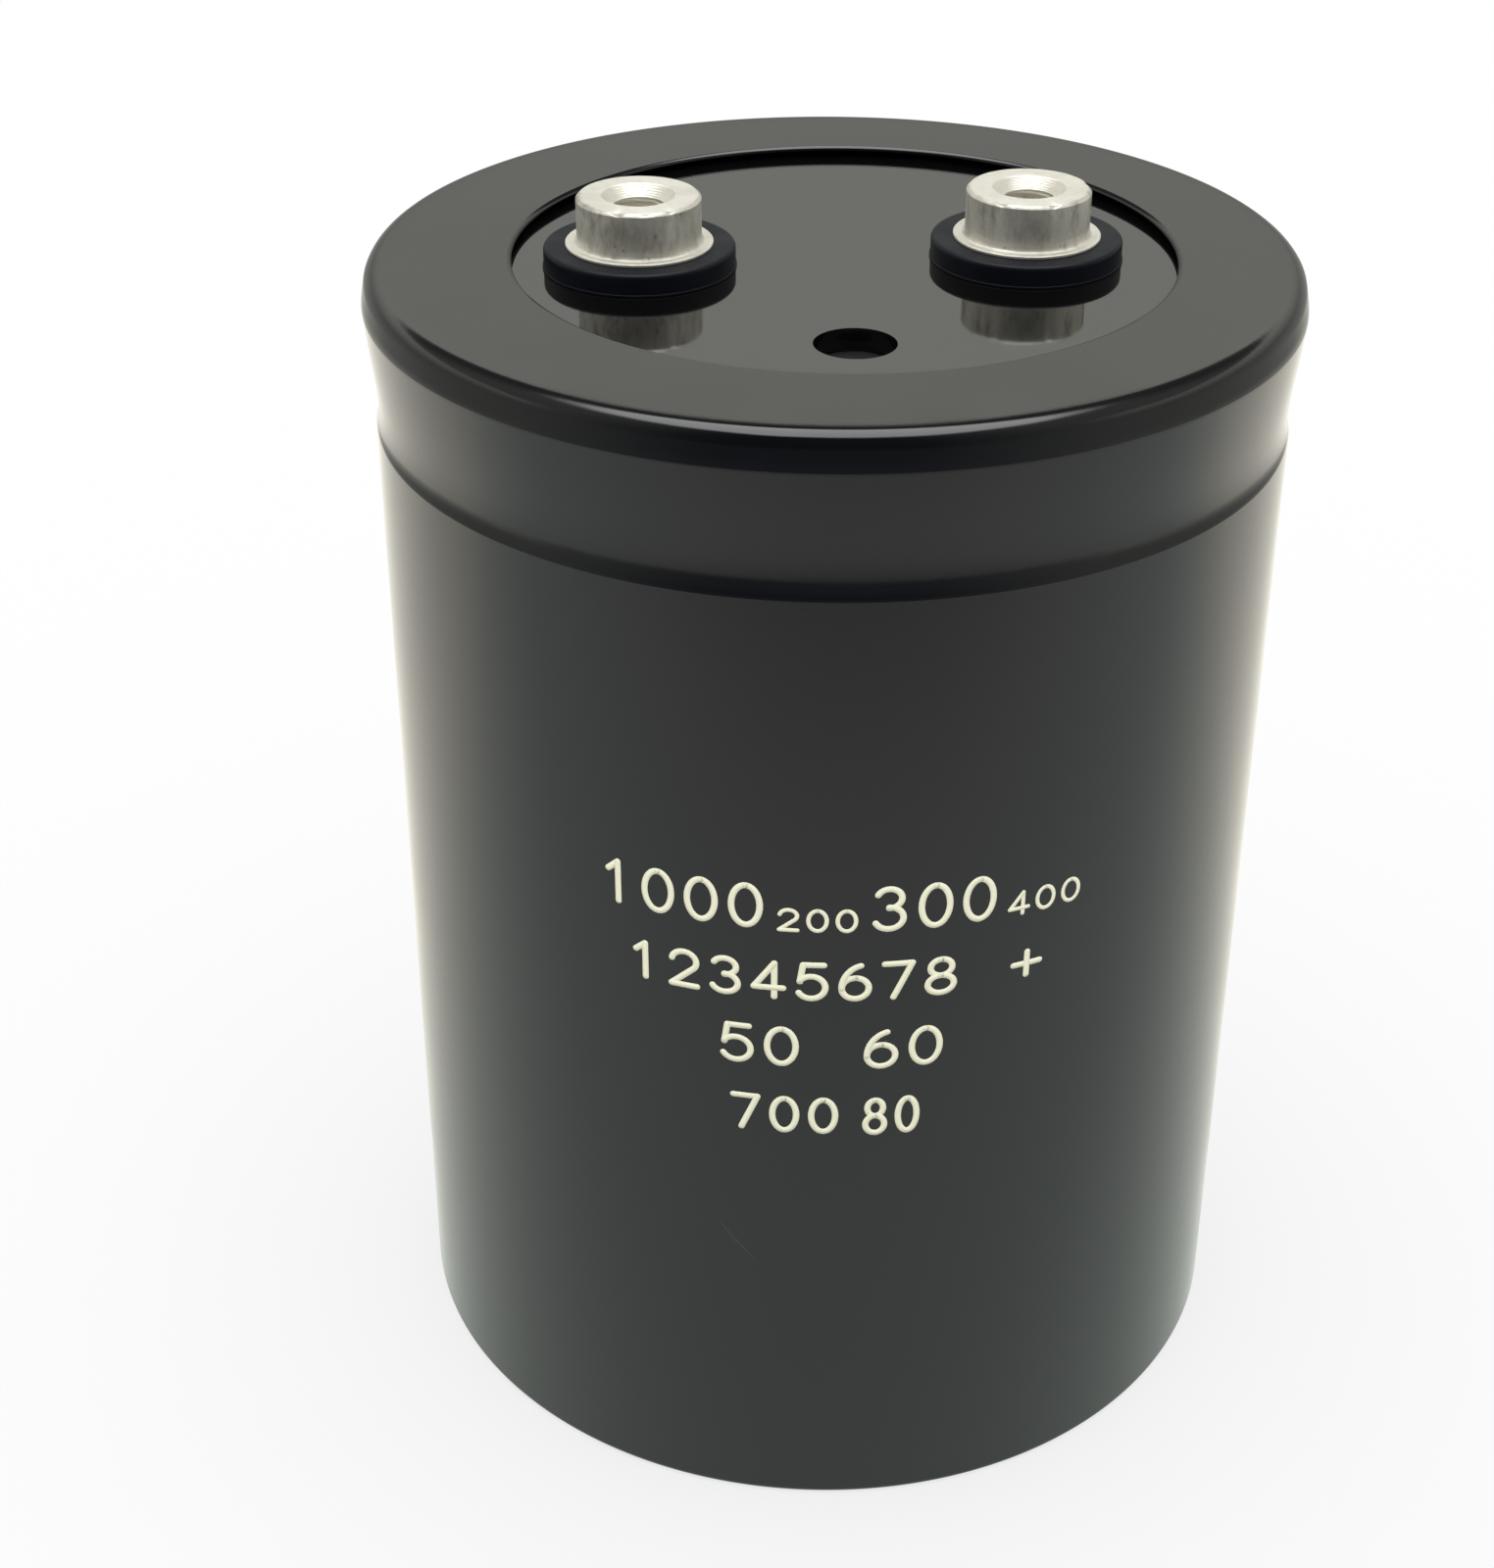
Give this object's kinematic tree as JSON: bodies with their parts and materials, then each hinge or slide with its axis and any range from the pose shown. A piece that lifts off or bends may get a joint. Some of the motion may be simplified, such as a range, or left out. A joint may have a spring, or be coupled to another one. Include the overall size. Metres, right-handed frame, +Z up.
{
  "type": "screw terminal electrolytic capacitor",
  "caption": "Upright cylindrical can capacitor in a black shrink sleeve, with a grooved rim, a sunk glossy deck, a round vent hole and threaded posts on black collars.",
  "frame": {"origin": "centre of the base, on the surface it stands on", "axes": "+Z up along the can's axis, +X from the centre to the positive terminal, -Y to the vent"},
  "size_m": [0.0773, 0.0774, 0.107],
  "materials": {
    "sleeve_film": "satin black shrink film",
    "deck_resin": "polished black moulding",
    "seal_rubber": "smooth black rubber",
    "terminal_metal": "turned, lightly stained",
    "can_metal": "drawn, satin",
    "foil": "thin rolled strip",
    "insulating_film": "dull black sheet",
    "fibre_board": "pressed fibre",
    "roll_paper": "foil and paper roll, soaked",
    "wrap_tape": "clear amber tape",
    "potting": "cast dark compound"
  },
  "bodies": {
    "root": {"sleeve": "sleeve_film", "base_disc": "insulating_film", "can": "can_metal", "deck_gasket": "seal_rubber", "deck": "deck_resin", "vent_plug": "seal_rubber", "terminal_positive": "terminal_metal", "terminal_negative": "terminal_metal", "collar_positive": "seal_rubber", "collar_negative": "seal_rubber", "washer_positive": "terminal_metal", "washer_negative": "terminal_metal", "tab_positive_inner": "foil", "tab_positive_outer": "foil", "tab_negative_inner": "foil", "tab_negative_outer": "foil", "top_insulator": "fibre_board", "winding": "roll_paper", "winding_wrap": "wrap_tape", "bottom_insulator": "fibre_board", "anchor_ring": "potting"}
  },
  "joints": []
}
